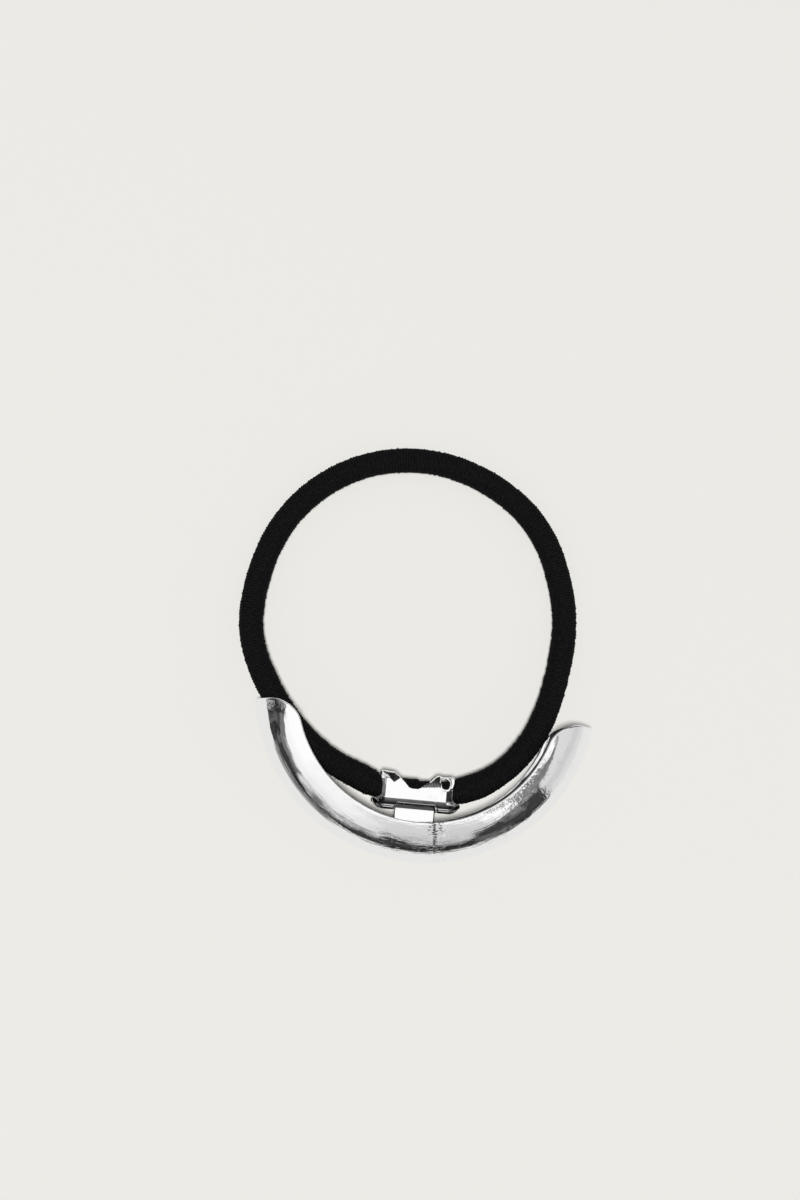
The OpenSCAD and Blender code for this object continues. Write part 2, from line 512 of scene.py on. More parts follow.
def polished_band(name, colours, sizes):
    """Mirror plating over a band that was bent and polished along its arc.

    It has soft waves and streaks along the arc, a dented patch near the right end, a faint
    weld mark beside the middle, and a little tarnish. Painted shade darkens the inside of its
    hollow, the tab's sides and the tab inside the clamp's slot.
    """
    material, tree = new_finish(name)
    along, across, deep, outward = band_place(tree, sizes)
    tab, tab_shade = tab_masks(tree, sizes)
    band = 1.0 - tab
    wave = tree.noise(tree.point(along * 0.1, across * 0.35), 1.0, detail=2.0)
    streak = tree.noise(tree.point(along * 0.22, across * 2.2), 1.0, detail=3.0, roughness=0.6)
    dent = tree.noise(tree.point(along * 0.45, across * 0.6), 1.0, detail=3.0, roughness=0.65)
    fine = tree.noise(tree.point(along * 1.4, across * 5.0), 1.0, detail=2.0)

    dented = between(along, *DENTED, 5.0) * across.within(2.0, 5.0)
    foot = between(along, *FOOT, 8.0)
    weld_area = between(along, *WELD_AREA, 0.5) * band
    weld = between(along, *WELD_LINE, 0.25) * fine.within(0.38, 0.52)
    weld = weld * across.within(4.6, 5.0) * band

    haze = dent.within(0.55, 0.75) * (0.1 + dented * 0.6 + weld_area * 0.3)
    base = tree.blend(haze, rgba(colours.metal), rgba(colours.tarnish))
    # The dark colour serves the weld marks and the painted shade below
    marks_and_shade = rgba(colours.dark_marks_and_shade)
    spots = weld_area * fine.within(0.5, 0.58) * across.within(8.0, 8.6)
    base = tree.blend(spots * 0.8 + weld * 0.9, base, marks_and_shade)
    # The lip's outer side is darker left of the foot
    darker_strip = between(across, 4.3, 5.1, 0.15) * between(along, *DARKER_STRIP, 1.5)
    base = tree.blend(darker_strip * (0.5 + streak * 0.3), base, marks_and_shade)
    # Painted shade darkens the hollow side, darkest just inside the lips, lighter deeper in;
    # bright polish reaches in over the lips, furthest above
    polish = along.climb(12.5, 34.0) * 0.7 - 0.08
    past = outward - polish.toward(1.1, across.within(0.0, 1.0))
    inside = deep.within(0.45, 0.6) * past.within(0.05, 0.12) * band
    inside_shade = tree.blend(past.within(0.8, 3.0), marks_and_shade, rgba(colours.inside_shade))
    base = tree.blend(inside, base, inside_shade)
    # Painted shade on the tab's sides and on the tab inside the clamp's slot
    base = tree.blend(tab_shade, base, marks_and_shade)
    roughness = 0.03 + haze * 0.15 + streak.within(0.62, 0.8) * 0.06 + weld * 0.1 + inside * 0.3

    # The tab has only its own faint waviness
    relief = tree.bump(tree.noise(tree.place(), 400.0, detail=2.0), tab, 0.03 * MM)
    relief = tree.bump(wave, band, 0.12 * MM, relief)
    streaked = 0.2 + foot * 0.3 + weld_area * 0.3 + dented * 0.1
    relief = tree.bump(streak, streaked * band, 0.08 * MM, relief)
    rumpled = 1.0 - along.within(*RUMPLED)
    relief = tree.bump(dent, rumpled * 0.35, 0.25 * MM, relief)
    relief = tree.bump(dent, (dented * 0.4 + weld_area * 0.3) * band, 0.12 * MM, relief)
    relief = tree.bump(weld, band * 0.8, -0.04 * MM, relief)
    tree.finish({"Base Color": base, "Metallic": 1.0, "Roughness": roughness, "Normal": relief})
    return material


def pressed_metal(name, colours, sizes):
    """Plated sheet, pressed and crimped: wavier and duller than the band."""
    material, tree = new_finish(name)
    place = tree.place()
    x, y, _ = tree.axes(place)
    u, v = (x - CLAMP_X) / MM, (y - sizes.grip_y) / MM
    wave = tree.noise(place, 420.0, detail=2.0)
    scratch_place = tree.add(
        "ShaderNodeMapping",
        {"vector_type": "POINT"},
        {"Vector": place, "Rotation": (0.3, 0.2, 0.7), "Scale": (1.0, 10.0, 1.0)},
    )
    scratch = tree.noise(scratch_place, 700.0, detail=3.0, roughness=0.7)
    cloud = tree.noise(place, 800.0, detail=4.0, roughness=0.6).within(0.5, 0.75)
    # The crimping tool's marks lie across the prongs
    mark_place = tree.point(x * 2400.0 + y * 400.0, y * 500.0)
    marks = tree.noise(mark_place, 1.0, detail=3.0, roughness=0.6)
    prongs = v.within(-0.2, 0.9)
    # Painted shade darkens the plate's rim, and the corners behind the elastic more
    plate = v.within(-2.75, -2.6)
    corner = u.size().within(4.95, 5.3) * plate * (1.0 - v.within(-1.3, -0.5))
    plate_shade = corner * (0.6 + cloud * 0.4) + (1.0 - plate) * 0.4
    base = tree.blend(cloud * 0.15, rgba(colours.metal), rgba(colours.tarnish))
    base = tree.blend(plate_shade, base, rgba(colours.dark_marks_and_shade))
    roughness = 0.06 + cloud * 0.1 + scratch.within(0.6, 0.8) * 0.08
    relief = tree.bump(wave, 1.0, 0.05 * MM)
    relief = tree.bump(marks, prongs * 0.8, 0.06 * MM, relief)
    relief = tree.bump(scratch, 0.5, 0.004 * MM, relief)
    tree.finish({"Base Color": base, "Metallic": 1.0, "Roughness": roughness, "Normal": relief})
    return material


def knitted_elastic(name, colours, sizes):
    """Matt black yarn, knitted in fine rings, on the elastic's own UV map in mm, its top lit by
    painted light.
    """
    material, tree = new_finish(name)
    uv = tree.add("ShaderNodeUVMap", {"uv_map": "knit"})
    along, around, _ = tree.axes(uv)
    ring = 0.5 - (along * (2 * math.pi / (sizes.rib_pitch / MM)) + math.pi / 2).sine() * 0.5
    stitch = tree.noise(tree.point(along * 2.6, around * 1.6), 1.0, detail=3.0, roughness=0.7)
    fuzz = tree.noise(uv, 6.0, detail=3.0, roughness=0.7)
    # Painted light: the elastic's top is lighter than its sides
    crown = (around * (2 * MM / sizes.diameter)).sine()
    shade = ring * 0.14 + stitch * 0.62 + fuzz * 0.35 + crown * 0.12 - 0.09
    worn_and_top_lit = tuple(channel * YARN_WEAR_AND_LIGHT for channel in colours.yarn)
    base = tree.blend(shade.within(0.35, 0.85), rgba(colours.yarn), rgba(worn_and_top_lit))
    tree.finish(
        {
            "Base Color": base,
            "Roughness": 0.8 + fuzz * 0.15,
            "Specular IOR Level": 0.1,
            "Normal": tree.bump(shade, 0.5, 0.06 * MM),
        }
    )
    return material


def plain_floor(name, colours):
    """Pale paper with the faintest tooth."""
    material, tree = new_finish(name)
    tooth = tree.noise(tree.place(), 1400.0, detail=3.0)
    tree.finish(
        {
            "Base Color": rgba(colours.floor),
            "Roughness": 0.9,
            "Specular IOR Level": 0.1,
            "Normal": tree.bump(tooth, 0.15, 0.02 * MM),
        }
    )
    return material


def deselect():
    if bpy.context.mode != "OBJECT":
        bpy.ops.object.mode_set(mode="OBJECT")
    bpy.ops.object.select_all(action="DESELECT")


def select_only(*pieces):
    """Selects these pieces, the first as the active one."""
    deselect()
    for piece in pieces:
        piece.select_set(True)
    bpy.context.view_layer.objects.active = pieces[0]


@contextmanager
def editing(piece):
    """Edit mode on the piece, with its whole mesh selected."""
    select_only(piece)
    bpy.ops.object.mode_set(mode="EDIT")
    bpy.ops.mesh.select_all(action="SELECT")
    yield
    bpy.ops.object.mode_set(mode="OBJECT")


def face_outward(piece):
    with editing(piece):
        bpy.ops.mesh.normals_make_consistent(inside=False)


def cut_across(place, axis, threshold=0.1 * MM):
    """In edit mode, cuts every face along a plane; nearer points than threshold are kept."""
    bpy.ops.mesh.select_all(action="SELECT")
    bpy.ops.mesh.bisect(plane_co=place, plane_no=axis, threshold=threshold)


def settle(piece):
    """Applies the piece's place, so that its object sits at the origin."""
    select_only(piece)
    bpy.ops.object.transform_apply(location=True, rotation=True, scale=True)


def apply_modifier(piece, name, kind, **settings):
    select_only(piece)
    modifier = piece.modifiers.new(name, kind)
    for setting, value in settings.items():
        setattr(modifier, setting, value)
    bpy.ops.object.modifier_apply(modifier=name)


def round_edges(piece, width, segments, sharp):
    """Rounds the edges where faces meet at more than this many degrees."""
    apply_modifier(
        piece,
        "edges",
        "BEVEL",
        width=width,
        segments=segments,
        limit_method="ANGLE",
        angle_limit=math.radians(sharp),
    )


def subdivide_surface(piece, levels):
    apply_modifier(piece, "smooth", "SUBSURF", levels=levels, render_levels=levels)


def cut_away(piece, cutter):
    settings = {"object": cutter, "operation": "DIFFERENCE", "solver": "EXACT"}
    apply_modifier(piece, "cut", "BOOLEAN", **settings)
    bpy.data.objects.remove(cutter)


def join(name, *pieces):
    """Joins the pieces into the first, under a new name."""
    select_only(*pieces)
    bpy.ops.object.join()
    pieces[0].name = name
    pieces[0].data.name = name
    return pieces[0]


def finish_piece(piece, material, node):
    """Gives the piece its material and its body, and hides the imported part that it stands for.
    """
    piece.data.materials.clear()
    piece.data.materials.append(material)
    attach(piece, ROOT)
    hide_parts(node)


def shade_smooth(piece):
    select_only(piece)
    bpy.ops.object.shade_smooth_by_angle(angle=math.radians(35))


def select_parts(piece, kind, wanted):
    """In edit mode, selects the parts of a kind for which wanted(part) is true."""
    bpy.ops.mesh.select_mode(type=kind)
    bpy.ops.mesh.select_all(action="DESELECT")
    mesh = bmesh.from_edit_mesh(piece.data)
    for part in {"EDGE": mesh.edges, "FACE": mesh.faces}[kind]:
        if wanted(part):
            part.select_set(True)
    mesh.select_flush_mode()
    bmesh.update_edit_mesh(piece.data)


def runs_along(edge, axis):
    start, end = (vertex.co for vertex in edge.verts)
    return abs((end - start).normalized()[axis]) > 0.999


def add_box(name, low, high):
    """A cube primitive between two corners."""
    deselect()
    bpy.ops.mesh.primitive_cube_add(size=1.0, location=(low + high) / 2)
    piece = bpy.context.object
    piece.name = name
    piece.scale = high - low
    settle(piece)
    return piece


def lip_angle(sizes):
    """Angle from the crest to the sheet's edge, whose rounding draws it back a little."""
    sheet_r = sizes.section_r - sizes.wall / 2
    return math.pi / 2 - sizes.lip_trim + 0.8 * sizes.wall / sheet_r


def end_angle(sizes):
    """Angle from the X axis down to the band's end."""
    return math.acos(min(1.0, CUFF_HIGH.x / sizes.crest_r))


def rounded_place(across, along, reach, radius):
    """Moves a point of a square corner onto the same corner rounded.

    across and along run from 0 at the two edges. Square rings round the corner's inner
    point become rings whose own corner is rounded in the same share.
    """
    a, b = reach - across, reach - along
    ring = max(a, b)
    if ring <= 0 or a <= 0 or b <= 0:
        return across, along
    bend = radius * ring / reach
    straight = ring - bend
    length = 2 * straight + math.pi / 2 * bend
    walked = length * (b / ring / 2 if a >= b else 1 - a / ring / 2)
    if walked <= straight:
        a, b = ring, walked
    elif walked >= length - straight:
        a, b = length - walked, ring
    else:
        turn = (walked - straight) / bend
        a = straight + bend * math.cos(turn)
        b = straight + bend * math.sin(turn)
    return reach - a, reach - b


def crowded(place, whole):
    """Moves evenly spaced places towards both ends of the whole."""
    share = place / whole
    return whole * (share - CROWDING * math.sin(2 * math.pi * share) / (2 * math.pi))


def shape_band(piece, sizes):
    """Crowds the spun rows towards the rims and rounds the sheet's four corners."""
    rim_r = sizes.crest_r - sizes.section_r
    sheet_r = sizes.section_r - sizes.wall / 2
    span = 2 * lip_angle(sizes) * sheet_r
    start = -math.pi + end_angle(sizes)
    turn = math.pi - 2 * end_angle(sizes)
    # Along the arc, lengths are counted so that the corner is as long as it is tall
    scale = sizes.corner_r / sizes.corner_turn
    reach = 1.5 * sizes.corner_r
    for vertex in piece.data.vertices:
        x, y, z = vertex.co
        radial = math.hypot(x, y) - rim_r
        upright = z - MIDDLE_Z
        across = (math.atan2(upright, radial) + lip_angle(sizes)) * sheet_r
        along = (math.atan2(y, x) - start) * scale
        across, along = crowded(across, span), crowded(along, turn * scale)
        far_across, far_along = span - across, turn * scale - along
        new_across, new_along = rounded_place(
            min(across, far_across), min(along, far_along), reach, sizes.corner_r
        )
        if across > far_across:
            new_across = span - new_across
        if along > far_along:
            new_along = turn * scale - new_along
        rise = new_across / sheet_r - lip_angle(sizes)
        around = start + new_along / scale
        radius = rim_r + sheet_r * math.cos(rise)
        vertex.co = (
            radius * math.cos(around),
            radius * math.sin(around),
            MIDDLE_Z + sheet_r * math.sin(rise),
        )


def model_band(sizes, section_steps=30, arc_steps=84):
    """The C-shaped sheet: one point spun into the half round, and that spun into the C."""
    rim_r = sizes.crest_r - sizes.section_r
    sheet_r = sizes.section_r - sizes.wall / 2
    lip = lip_angle(sizes)
    start = Vector((rim_r + sheet_r * math.cos(lip), 0, MIDDLE_Z - sheet_r * math.sin(lip)))
    deselect()
    bpy.ops.mesh.primitive_plane_add(size=MM)
    piece = bpy.context.object
    with editing(piece):
        bpy.ops.mesh.merge(type="CENTER")
        bpy.ops.transform.translate(value=start)
        # A half round, then the arc, each with its doubled points merged
        for steps, turn, centre, axis in (
            (section_steps, 2 * lip, (rim_r, 0, MIDDLE_Z), (0, 1, 0)),
            (arc_steps, 2 * end_angle(sizes) - math.pi, (0, 0, 0), (0, 0, 1)),
        ):
            bpy.ops.mesh.spin(steps=steps, angle=turn, center=centre, axis=axis)
            bpy.ops.mesh.select_all(action="SELECT")
            bpy.ops.mesh.remove_doubles(threshold=0.001 * MM)
    first_turn = -math.pi + end_angle(sizes)
    piece.data.transform(Matrix.Rotation(first_turn, 4, "Z"))
    shape_band(piece, sizes)
    face_outward(piece)
    apply_modifier(
        piece, "sheet", "SOLIDIFY", thickness=sizes.wall, offset=0, use_even_offset=True
    )
    subdivide_surface(piece, 2)
    return piece


def model_tab(sizes):
    """The flat tab from the band's inside, with its cross bar inside the clamp."""
    bar_back = CLAMP_LOW.y + bpy.context.scene.clamp_sizes.jaw_t + BAR_FIT * MM
    root_y = -sizes.crest_r + sizes.wall / 2
    half_w, half_t = sizes.tab_w / 2 + TAB_EXTRA * MM, sizes.tab_t / 2
    low = Vector((CLAMP_X - half_w, root_y, MIDDLE_Z - half_t))
    high = Vector((CLAMP_X + half_w, bar_back + sizes.bar_t, MIDDLE_Z + half_t))
    piece = add_box("tab", low, high)
    with editing(piece):
        cut_across((0, bar_back, 0), (0, 1, 0))
        for side in (-1, 1):
            select_parts(
                piece,
                "FACE",
                lambda face: face.normal.x * side > 0.9
                and face.calc_center_median().y > bar_back,
            )
            bpy.ops.mesh.extrude_region_move(
                TRANSFORM_OT_translate={"value": (side * (sizes.bar_w / 2 - half_w), 0, 0)}
            )
    face_outward(piece)
    round_edges(piece, TAB_ROUND * MM, 3, 40)
    # Cuts beside the rounded edges keep the faces between them flat
    inset = TAB_ROUND * MM + 0.06 * MM
    with editing(piece):
        for side in (-1, 1):
            for place, axis in (
                ((CLAMP_X + side * (half_w - inset), 0, 0), (1, 0, 0)),
                ((0, 0, MIDDLE_Z + side * (half_t - inset)), (0, 0, 1)),
            ):
                cut_across(place, axis, 0.001 * MM)
        for cut_y in (root_y + inset, bar_back - inset):
            cut_across((0, cut_y, 0), (0, 1, 0), 0.001 * MM)
    return piece


def follow(points, place):
    """The value at a place on the line through points of (place, value)."""
    if place <= points[0][0]:
        return points[0][1]
    for (low, start), (high, end) in zip(points, points[1:], strict=False):
        if place <= high:
            return start + (end - start) * (place - low) / (high - low)
    return points[-1][1]


def ease(share):
    share = min(1.0, max(0.0, share))
    return share * share * (3 - 2 * share)


def plate_bend(u):
    """How far the back plate's ends bend forward, at this distance in mm from its middle."""
    return BEND * max(0.0, abs(u) - BEND_START) ** 2


def cheek_column(sizes, u, parts=24):
    """The middle of a cheek's sheet from the back plate to the prongs' edge, as y, height.

    u is the distance from the clamp's middle, in mm.
    """
    radius, half_t = sizes.jaw_r / MM, sizes.jaw_t / MM / 2
    slot = ease((SLOT_END - abs(u)) / 0.25)
    rear_length = REAR_LENGTH + (SLOT_LENGTH - REAR_LENGTH) * slot
    stride = rear_length / parts
    rear = [(WALL_END, radius)]
    for part in range(parts):
        tilt = math.radians(follow(REAR_TILT, stride * (part + 0.5)))
        y, height = rear[-1]
        rear.append((y - stride * math.cos(tilt), height + stride * math.sin(tilt)))
    # Forward, over the elastic, so that the sheet's upper corner reaches just the edge
    turn = math.asin(follow(PRONG_EDGE, u) / (PRONG_R + half_t))
    front = []
    for part in range(parts + 1):
        angle = turn * part / parts
        front.append((PRONG_R * math.sin(angle), radius - PRONG_R * (1 - math.cos(angle))))
    return rear[::-1] + front


def spaced(points, count):
    """The same line through evenly spaced points."""
    lengths = [0.0]
    for here, after in zip(points, points[1:], strict=False):
        lengths.append(lengths[-1] + math.dist(here, after))
    heights = [(length, point[1]) for length, point in zip(lengths, points, strict=True)]
    places = [(length, point[0]) for length, point in zip(lengths, points, strict=True)]
    wanted = [lengths[-1] * step / count for step in range(count + 1)]
    return [(follow(places, length), follow(heights, length)) for length in wanted]


def cheek_place(u, y, half_width):
    """Spreads the cheek towards the plate's ends; the wall is narrower than the corners."""
    share = u / half_width
    waist = WAIST * share * ease((y - WALL_END + 1.0) / 0.8) * (1 - ease((y - 0.6) / 1.2))
    spread = SPREAD * abs(share) ** 9 * ease((-0.7 - y) / 1.5)
    u += math.copysign(spread, u) - waist
    return u, y + plate_bend(u) * ease((WALL_END - y) / 1.5)


def flare(u, y):
    """How far a cheek's left side turns in to the elastic and its right side away, in mm."""
    start, steep, reach = LEFT_FLARE if u < 0 else RIGHT_FLARE
    bend = 0.07
    away = max(0.0, abs(u) - start)
    lift = steep * (away - bend * (1 - math.exp(-away / bend)))
    behind = WALL_END + 0.2 - y + plate_bend(u)
    return lift * (1 - ease((y - reach) / 0.8)) * (1 - ease(behind / 0.8))


def turn_down(u, y):
    """How far the prongs' ends turn down to grip the elastic, in mm."""
    edge = follow(PRONG_EDGE, u)
    return -PRONG_DROP * ease((edge - 1.5) / 0.5) * (1 - ease((edge - y) / 0.24))


def crimp(u, y):
    """Folds, ridges and creases that crimping left on the upper prongs, in mm."""
    # The left prong is folded down inside a V
    beside = u - FOLD_PLACE[0]
    past = y - FOLD_PLACE[1] - max(slope * beside for slope in FOLD_SLOPES)
    lift = -FOLD_DROP * softly(past, 0.08) * ease((FOLD_END - u) / 0.4)
    # The right prong's inner part is folded down along a line, and grooved
    inner = ease((u - 0.35) / 0.3) * ease((3.9 - u) / 0.4)
    past = y - LINE_START - LINE_SLOPE * u
    lift -= LINE_DROP * softly(past, 0.06) * inner
    groove = math.sin((u + 0.15 * y) * 2 * math.pi / GROOVE_PITCH)
    lift += GROOVE_DEPTH * inner * ease(past / 0.2) * groove
    # A raised ring round the punched hole
    away = math.hypot(u - PUNCH_PLACE[0], (y - PUNCH_PLACE[1]) / 1.15)
    lift += RING_HEIGHT * math.exp(-(((away - RING_R) / RING_WIDTH) ** 2))
    for start_u, start_y, end_u, end_y, depth in CREASES:
        run_u, run_y = end_u - start_u, end_y - start_y
        share = ((u - start_u) * run_u + (y - start_y) * run_y) / (run_u ** 2 + run_y ** 2)
        share = min(1.0, max(0.0, share))
        away = math.hypot(u - start_u - share * run_u, y - start_y - share * run_y)
        lift -= depth * math.exp(-((away / CREASE_WIDTH) ** 2))
    return lift


def softly(value, soft):
    """The value above 0, and 0 below, with a rounded corner between."""
    return (value + math.hypot(value, soft)) / 2


def model_jaw(sizes, side, columns=112, rows=52):
    """One cheek with its two prongs, bent from a flat grid; side is 1 above, -1 below."""
    half_width = sizes.jaw_w / 2 / MM
    deselect()
    bpy.ops.mesh.primitive_grid_add(x_subdivisions=columns, y_subdivisions=rows, size=1.0)
    piece = bpy.context.object
    lines = {}
    for vertex in piece.data.vertices:
        column = round((vertex.co.x + 0.5) * columns)
        u = (2 * column / columns - 1) * half_width
        if column not in lines:
            lines[column] = spaced(cheek_column(sizes, u), rows)
        y, height = lines[column][round((vertex.co.y + 0.5) * rows)]
        u, y = cheek_place(u, y, half_width)
        vertex.co = CLAMP_X + u * MM, sizes.grip_y + y * MM, MIDDLE_Z + side * height * MM
    face_outward(piece)
    apply_modifier(piece, "sheet", "SOLIDIFY", thickness=sizes.jaw_t, offset=0)
    subdivide_surface(piece, 1)
    # The press marks go straight up or down through the sheet
    for vertex in piece.data.vertices:
        u = (vertex.co.x - CLAMP_X) / MM
        y = (vertex.co.y - sizes.grip_y) / MM
        lift = flare(u, y) + turn_down(u, y) + (crimp(u, y) if side > 0 else 0.0)
        vertex.co.z += side * lift * MM
    return piece


def model_plate(sizes, end):
    """One end of the back plate, beside the slot; end is -1 on the left, 1 on the right."""
    inner = CLAMP_X + end * SLOT_END * MM
    outer = CLAMP_HIGH.x if end > 0 else CLAMP_LOW.x
    taller = Vector((0, 0, PLATE_TALLER * MM))
    back = CLAMP_LOW.y + PLATE_FORWARD * MM
    low = Vector((min(inner, outer), back, CLAMP_LOW.z)) - taller
    high = Vector((max(inner, outer), back + sizes.jaw_t, CLAMP_HIGH.z)) + taller
    piece = add_box("plate", low, high)
    with editing(piece):
        select_parts(
            piece,
            "EDGE",
            lambda edge: runs_along(edge, 1) and abs(edge.verts[0].co.x - outer) < 0.01 * MM,
        )
        bpy.ops.mesh.bevel(offset=sizes.plate_corner, segments=8, affect="EDGES")
    rim = RIM * MM
    round_edges(piece, rim, 6, 50)
    cuts = 8
    with editing(piece):
        for cut in range(1, cuts):
            cut_across((inner + (outer - inner) * cut / cuts, 0, 0), (1, 0, 0))
    # The rim is drawn out to a narrow crown
    reach = high.z - MIDDLE_Z
    for vertex in piece.data.vertices:
        vertex.co.y += plate_bend((vertex.co.x - CLAMP_X) / MM) * MM
        up = vertex.co.z - MIDDLE_Z
        below_top = reach - abs(up)
        if below_top < rim:
            vertex.co.z = MIDDLE_Z + math.copysign(reach - CROWN * below_top, up)
    return piece


def punch_hole(piece, sizes):
    """Drills the small hole through the right prongs."""
    deselect()
    bpy.ops.mesh.primitive_cylinder_add(
        vertices=48,
        radius=sizes.punch_d / 2,
        depth=12 * MM,
        location=(
            CLAMP_X + PUNCH_PLACE[0] * MM,
            sizes.grip_y + PUNCH_PLACE[1] * MM,
            MIDDLE_Z,
        ),
    )
    drill = bpy.context.object
    drill.scale = PUNCH_DRAWN
    settle(drill)
    cut_away(piece, drill)


def true_place(row):
    """The true place of a route point, which is seen from the viewing point in its place."""
    seen, height = Vector(row[:2]) * MM, row[2] * MM
    rise = height - MIDDLE_Z
    flat = VIEW_AIM + (seen - VIEW_AIM) * (1 - rise / VIEW_DISTANCE) - VIEW_LEAN * rise
    return Vector((flat.x, flat.y, height))


def smooth_route(step, parts=24):
    """Points and girths along the route, evenly spaced on a Catmull-Rom curve."""
    rows = [(true_place(row), row[3]) for row in ROUTE]
    rows = [rows[0], *rows, rows[-1]]
    dense = []
    for start in range(1, len(rows) - 2):
        (p0, _), (p1, girth), (p2, next_girth), (p3, _) = rows[start - 1 : start + 3]
        for part in range(parts):
            t = part / parts
            dense.append((catmull(p0, p1, p2, p3, t), girth + (next_girth - girth) * t))
    dense.append(rows[-1])
    lengths = [0.0]
    for (here, _), (after, _) in zip(dense, dense[1:], strict=False):
        lengths.append(lengths[-1] + (after - here).length)
    count = round(lengths[-1] / step)
    evened = []
    place = 0
    for ring in range(count + 1):
        wanted = lengths[-1] * ring / count
        while place < len(lengths) - 2 and lengths[place + 1] < wanted:
            place += 1
        gap = lengths[place + 1] - lengths[place]
        share = (wanted - lengths[place]) / gap if gap else 0.0
        (here, g_here), (after, g_after) = dense[place], dense[place + 1]
        evened.append((here.lerp(after, share), g_here + (g_after - g_here) * share))
    return evened, lengths[-1]


def catmull(p0, p1, p2, p3, t):
    return 0.5 * (
        2 * p1
        + (p2 - p0) * t
        + (2 * p0 - 5 * p1 + 4 * p2 - p3) * t ** 2
        + (3 * p1 - p0 - 3 * p2 + p3) * t ** 3
    )


def model_elastic(sizes, sides=32, rings_per_rib=4):
    """The knitted tube: a ring of points every quarter rib, swelling at each rib."""
    rings, length = smooth_route(sizes.rib_pitch / rings_per_rib)
    chance = random.Random(7)
    ribs = len(rings) // rings_per_rib + 2
    swell = [chance.gauss(0, UNEVEN_KNIT) for _ in range(ribs)]
    mesh = bmesh.new()
    knit = mesh.loops.layers.uv.new("knit")
    loops = []
    for place, (middle, girth) in enumerate(rings):
        before = rings[max(place - 1, 0)][0]
        after = rings[min(place + 1, len(rings) - 1)][0]
        forward = (after - before).normalized()
        side = forward.cross(Vector((0, 0, 1))).normalized()
        up = side.cross(forward)
        rib, phase = divmod(place, rings_per_rib)
        height = 0.5 - 0.5 * math.cos(2 * math.pi * phase / rings_per_rib)
        radius = girth * sizes.diameter / 2 - sizes.rib_depth * (1 - height)
        radius += sizes.rib_depth * swell[rib] * height
        loop = []
        for point in range(sides):
            angle = 2 * math.pi * point / sides
            arm = side * math.cos(angle) + up * math.sin(angle)
            loop.append(mesh.verts.new(middle + arm * radius))
        loops.append(loop)
    step = length / (len(rings) - 1) / MM
    girth_mm = math.pi * sizes.diameter / MM
    for place, (loop, after) in enumerate(zip(loops, loops[1:], strict=False)):
        for point in range(sides):
            beside = (point + 1) % sides
            face = mesh.faces.new((loop[point], loop[beside], after[beside], after[point]))
            face.smooth = True
            low, high = point / sides * girth_mm, (point + 1) / sides * girth_mm
            near, far = place * step, (place + 1) * step
            marks = ((near, low), (near, high), (far, high), (far, low))
            for corner, mark in zip(face.loops, marks, strict=True):
                corner[knit].uv = mark
    mesh.faces.new(reversed(loops[0]))
    mesh.faces.new(loops[-1])
    bmesh.ops.recalc_face_normals(mesh, faces=mesh.faces)
    data = bpy.data.meshes.new("knitted_elastic")
    mesh.to_mesh(data)
    mesh.free()
    piece = bpy.data.objects.new("knitted_elastic", data)
    bpy.context.collection.objects.link(piece)
    return piece, [middle for middle, _ in rings], length


class PONYTAIL_OT_camera(bpy.types.Operator):
    """Sets the camera at the photograph's viewing angle"""

    bl_idname = "ponytail.camera"
    bl_label = "Set the camera"

    def execute(self, context):
        studio = context.scene.studio
        right = Vector((math.cos(studio.roll), math.sin(studio.roll), 0))
        up = Vector((-math.sin(studio.roll), math.cos(studio.roll), 0))
        back = Vector((0, 0, 1))
        back -= right * math.tan(studio.lean_left) + up * math.tan(studio.lean_down)
        back.normalize()
        right = (right - back * right.dot(back)).normalized()
        up = back.cross(right)
        data = bpy.data.cameras.new("camera")
        data.sensor_fit = "VERTICAL"
        data.sensor_height = 36
        data.lens = studio.lens
        data.clip_start = 0.01
        data.dof.use_dof = False
        camera = bpy.data.objects.new("camera", data)
        context.collection.objects.link(camera)
        turn = Matrix((right, up, back)).transposed().to_4x4()
        turn.translation = Vector(studio.aim) + back * studio.distance
        camera.matrix_world = turn
        context.scene.camera = camera
        return {"FINISHED"}


class PONYTAIL_OT_elastic(bpy.types.Operator):
    bl_idname = "ponytail.elastic"
    bl_label = "Model the elastic"

    def execute(self, context):
        sizes = context.scene.elastic_sizes
        piece, path, length = model_elastic(sizes)
        finish = knitted_elastic("knitted_elastic", context.scene.finish_colours, sizes)
        finish_piece(piece, finish, "elastic")
        return {"FINISHED"}


class PONYTAIL_OT_cuff(bpy.types.Operator):
    """Models the polished band with its soldered tab"""

    bl_idname = "ponytail.cuff"
    bl_label = "Model the cuff"

    def execute(self, context):
        sizes = context.scene.cuff_sizes
        piece = join("polished_band", model_band(sizes), model_tab(sizes))
        finish = polished_band("polished_metal", context.scene.finish_colours, sizes)
        finish_piece(piece, finish, "cuff")
        # Matt surfaces don't see the mirror, so the floor beside it stays plain
        piece.visible_diffuse = False
        shade_smooth(piece)
        return {"FINISHED"}


class PONYTAIL_OT_clamp(bpy.types.Operator):
    """Models the crimped clamp with its prongs, back plate, slot and punched hole"""

    bl_idname = "ponytail.clamp"
    bl_label = "Model the clamp"

    def execute(self, context):
        sizes = context.scene.clamp_sizes
        jaws = join("jaws", model_jaw(sizes, 1), model_jaw(sizes, -1))
        punch_hole(jaws, sizes)
        piece = join("crimped_clamp", jaws, model_plate(sizes, -1), model_plate(sizes, 1))
        finish = pressed_metal("clamp_metal", context.scene.finish_colours, sizes)
        finish_piece(piece, finish, "clamp")
        shade_smooth(piece)
        return {"FINISHED"}


